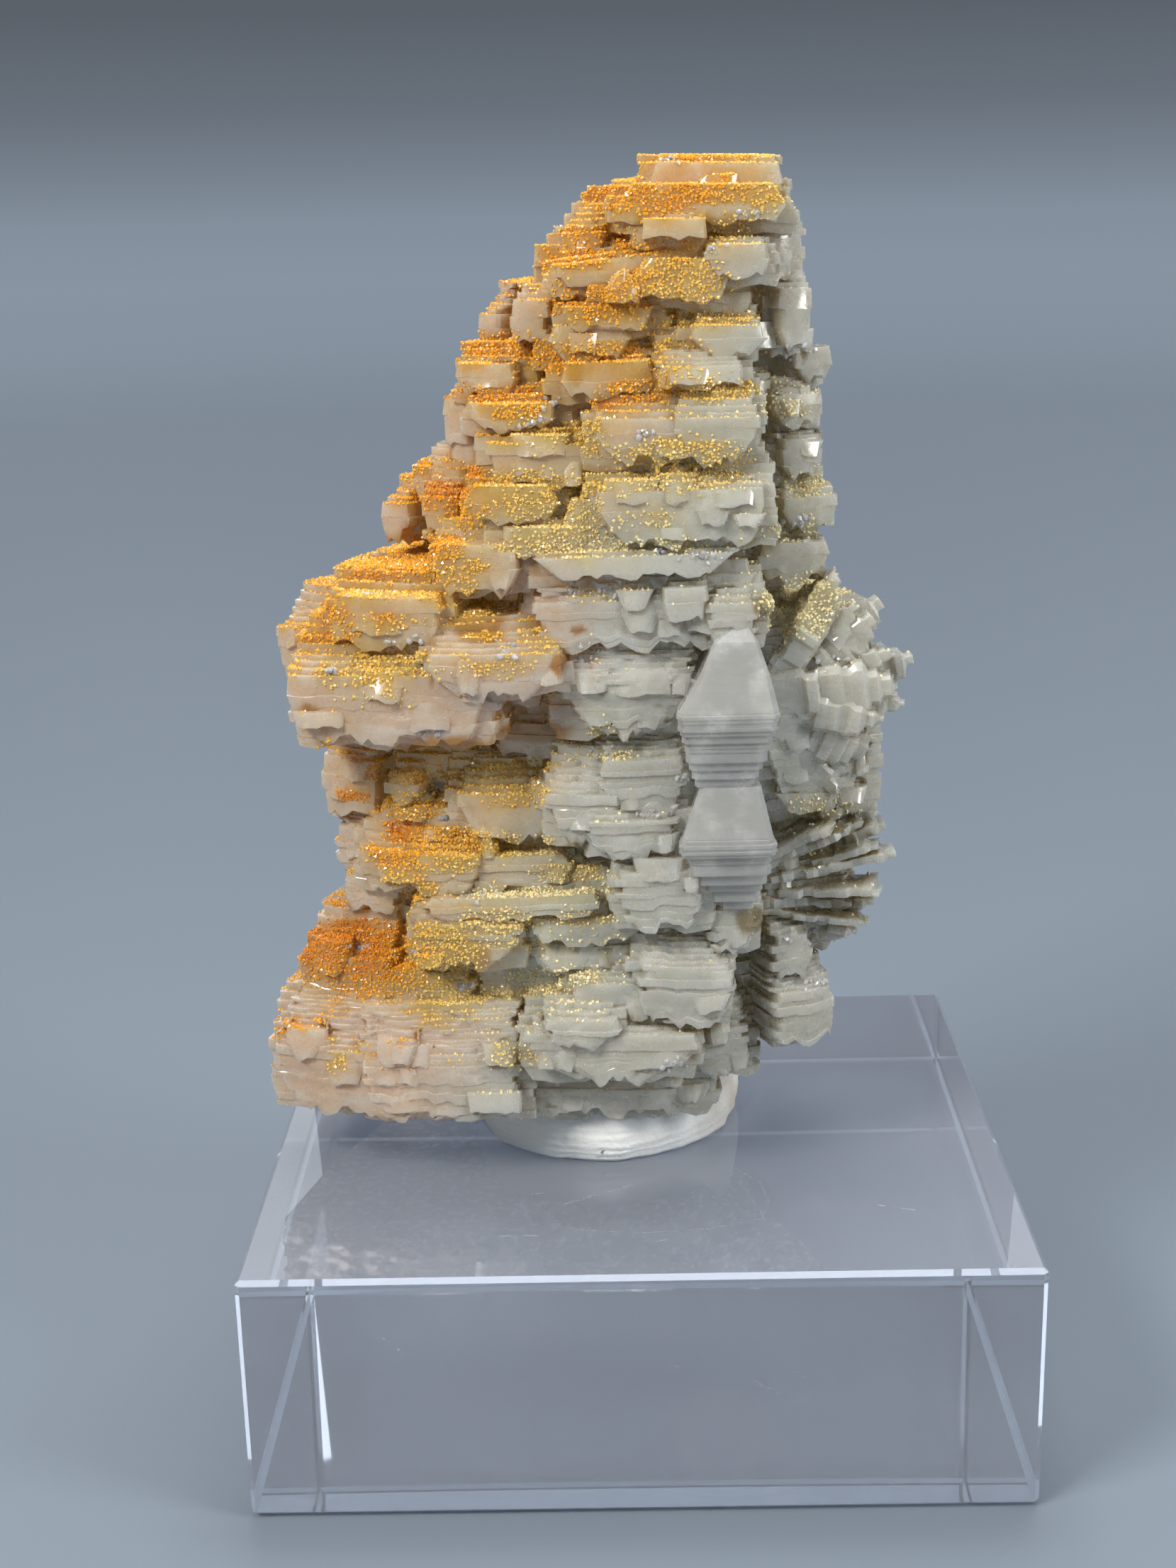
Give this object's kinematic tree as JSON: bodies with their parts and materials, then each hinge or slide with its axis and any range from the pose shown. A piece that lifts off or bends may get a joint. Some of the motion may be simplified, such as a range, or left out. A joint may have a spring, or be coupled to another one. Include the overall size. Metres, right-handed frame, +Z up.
{
  "type": "wulfenite on calcite mineral specimen",
  "caption": "Upright cluster of stepped, shingled calcite crystals with orange sugar crusts on its ledges, fixed by a putty pad to a clear rectangular block.",
  "frame": {"origin": "centre of the clear block's bottom face", "axes": "+Z up, from the block to the crown of the cluster; -Y towards the front face with the sugared ledges; +X to the viewer's right"},
  "size_m": [0.057, 0.051, 0.0942],
  "materials": {
    "calcite": "satin",
    "wulfenite": "satin",
    "putty": "matte",
    "acrylic": "polished"
  },
  "bodies": {
    "root": {"calcite_cluster": "calcite", "wulfenite_crust_crown": "wulfenite", "wulfenite_crust_high_ledge": "wulfenite", "wulfenite_crust_left_ledge": "wulfenite", "wulfenite_crust_centre": "wulfenite", "wulfenite_crust_bell": "wulfenite", "wulfenite_crust_shoulder_top": "wulfenite", "wulfenite_crust_shoulder_face": "wulfenite", "wulfenite_crust_hollow": "wulfenite", "wulfenite_crust_waist": "wulfenite", "wulfenite_crust_dome": "wulfenite", "wulfenite_crust_foot": "wulfenite", "mounting_putty": "putty", "acrylic_block": "acrylic"}
  },
  "joints": []
}
